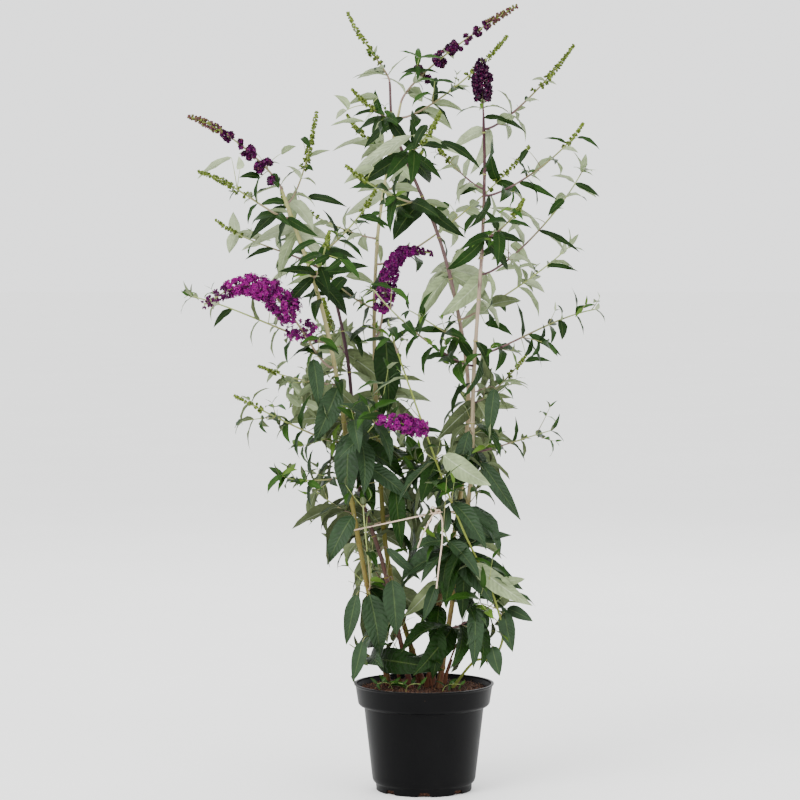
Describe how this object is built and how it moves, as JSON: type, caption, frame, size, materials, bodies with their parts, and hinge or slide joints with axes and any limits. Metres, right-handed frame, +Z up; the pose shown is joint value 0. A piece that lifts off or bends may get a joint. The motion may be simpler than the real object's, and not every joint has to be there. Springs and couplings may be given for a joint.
{
  "type": "potted butterfly bush",
  "caption": "Flowering butterfly bush (Buddleja) with several tall leafy stems and purple flower spikes, growing in a round black nursery pot.",
  "frame": {"origin": "middle of the pot's underside", "axes": "+Z up the plant from the pot's underside, -Y towards the plant's front, +X to the right seen from the front"},
  "size_m": [0.6824, 0.4905, 1.2912],
  "materials": {
    "pot": "moulded black polypropylene, satin",
    "soil": "crumbly peat and bark compost",
    "bark": "smooth young bark with swollen nodes",
    "dark_bark": "smooth purple-brown young bark",
    "green_bark": "soft green shoot",
    "foliage": "matt leaf, dark above and grey felt below",
    "blossom": "matt purple florets"
  },
  "bodies": {
    "root": {"pot": "pot", "soil": "soil", "stem_left": "bark", "stem_dark": "dark_bark", "stem_middle": "bark", "stem_right": "bark", "stem_tall": "dark_bark", "stem_green": "green_bark", "left_shoot_984": "blossom", "left_shoot_962": "foliage", "left_shoot_940": "foliage", "left_shoot_915": "foliage", "left_shoot_868": "foliage", "left_shoot_842": "foliage", "left_shoot_738": "foliage", "left_shoot_696": "blossom", "left_shoot_668": "foliage", "left_shoot_573": "foliage", "left_shoot_516": "foliage", "left_shoot_455": "foliage", "left_shoot_330": "foliage", "dark_shoot_850": "foliage", "dark_shoot_716": "foliage", "dark_shoot_600": "foliage", "middle_shoot_1130": "blossom", "middle_shoot_1106": "foliage", "middle_shoot_1052": "foliage", "middle_shoot_985": "foliage", "middle_shoot_905": "foliage", "middle_shoot_862": "foliage", "middle_shoot_790": "foliage", "middle_shoot_742": "blossom", "middle_shoot_640": "foliage", "green_shoot_600": "blossom", "right_shoot_1156": "foliage", "right_shoot_1098": "foliage", "right_shoot_1040": "foliage", "right_shoot_965": "foliage", "right_shoot_846": "foliage", "right_shoot_772": "foliage", "right_shoot_744": "foliage", "right_shoot_580": "foliage", "tall_shoot_1098": "blossom", "tall_shoot_1080": "foliage", "tall_shoot_985": "foliage", "tall_shoot_974": "foliage", "tall_shoot_905": "foliage", "tall_shoot_848": "foliage", "tall_shoot_718": "foliage", "tall_shoot_700": "foliage", "tall_shoot_640": "foliage", "tall_shoot_560": "foliage", "green_shoot_722": "foliage", "low_shoot_214": "foliage", "low_shoot_272": "foliage", "low_shoot_330": "foliage", "low_shoot_388": "foliage", "low_shoot_446": "foliage", "low_shoot_504": "foliage", "low_shoot_562": "foliage"}
  },
  "joints": []
}
